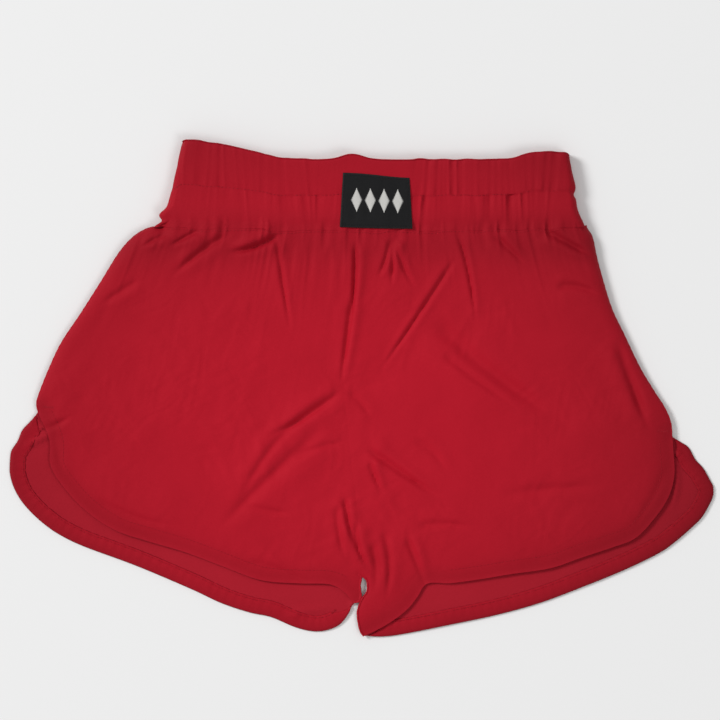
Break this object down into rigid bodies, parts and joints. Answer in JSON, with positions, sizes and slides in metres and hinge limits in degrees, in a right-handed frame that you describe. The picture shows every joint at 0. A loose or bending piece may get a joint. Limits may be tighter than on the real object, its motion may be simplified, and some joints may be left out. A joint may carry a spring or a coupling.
{
  "type": "boxing shorts",
  "caption": "Loose red boxing shorts lying flat, with a gathered elastic waistband, a black label and rounded hems slit at the sides.",
  "frame": {"origin": "on the surface that the shorts lie on, midway between the hem tips and midway from the waist's top edge to the lowest hem", "axes": "+X to the wearer's left, +Y up to the waist, +Z out of the front, away from the surface they lie on"},
  "size_m": [0.541, 0.372, 0.0141],
  "materials": {
    "red_cloth": "crisp plain-woven polyester with a soft sheen",
    "red_thread": "spun polyester sewing thread",
    "elastic": "braided elastic",
    "label_cloth": "dense satin-woven label",
    "label_thread": "sewing thread",
    "emblem_thread": "raised woven thread",
    "care_label_cloth": "plain satin ribbon"
  },
  "bodies": {
    "hips": {"front_waistband": "red_cloth", "back_waistband": "red_cloth", "upper_elastic": "elastic", "lower_elastic": "elastic", "waistband_stitching": "red_thread", "waist_seam_stitching": "red_thread", "label_patch": "label_cloth", "label_stitching": "label_thread", "label_emblem": "emblem_thread", "care_label": "care_label_cloth", "front_right_hip_panel": "red_cloth", "back_right_hip_panel": "red_cloth", "front_left_hip_panel": "red_cloth", "back_left_hip_panel": "red_cloth", "right_side_seam": "red_cloth", "left_side_seam": "red_cloth", "right_slit_bartack": "red_thread", "left_slit_bartack": "red_thread", "front_hip_rise_seam": "red_cloth", "back_hip_rise_seam": "red_cloth"},
    "legs": {"front_right_leg_panel": "red_cloth", "back_right_leg_panel": "red_cloth", "front_left_leg_panel": "red_cloth", "back_left_leg_panel": "red_cloth", "front_right_hem": "red_cloth", "back_right_hem": "red_cloth", "front_left_hem": "red_cloth", "back_left_hem": "red_cloth", "front_right_hem_stitching": "red_thread", "back_right_hem_stitching": "red_thread", "front_left_hem_stitching": "red_thread", "back_left_hem_stitching": "red_thread", "right_inseam": "red_cloth", "left_inseam": "red_cloth", "front_leg_rise_seam": "red_cloth", "back_leg_rise_seam": "red_cloth"}
  },
  "joints": [
    {"name": "legs_fold", "type": "hinge", "parent": "hips", "child": "legs", "pos_m": [-0.005, -0.0235, 0.0122], "axis": [-0.9992, 0.0389, 0], "range_deg": [0, 180]}
  ]
}
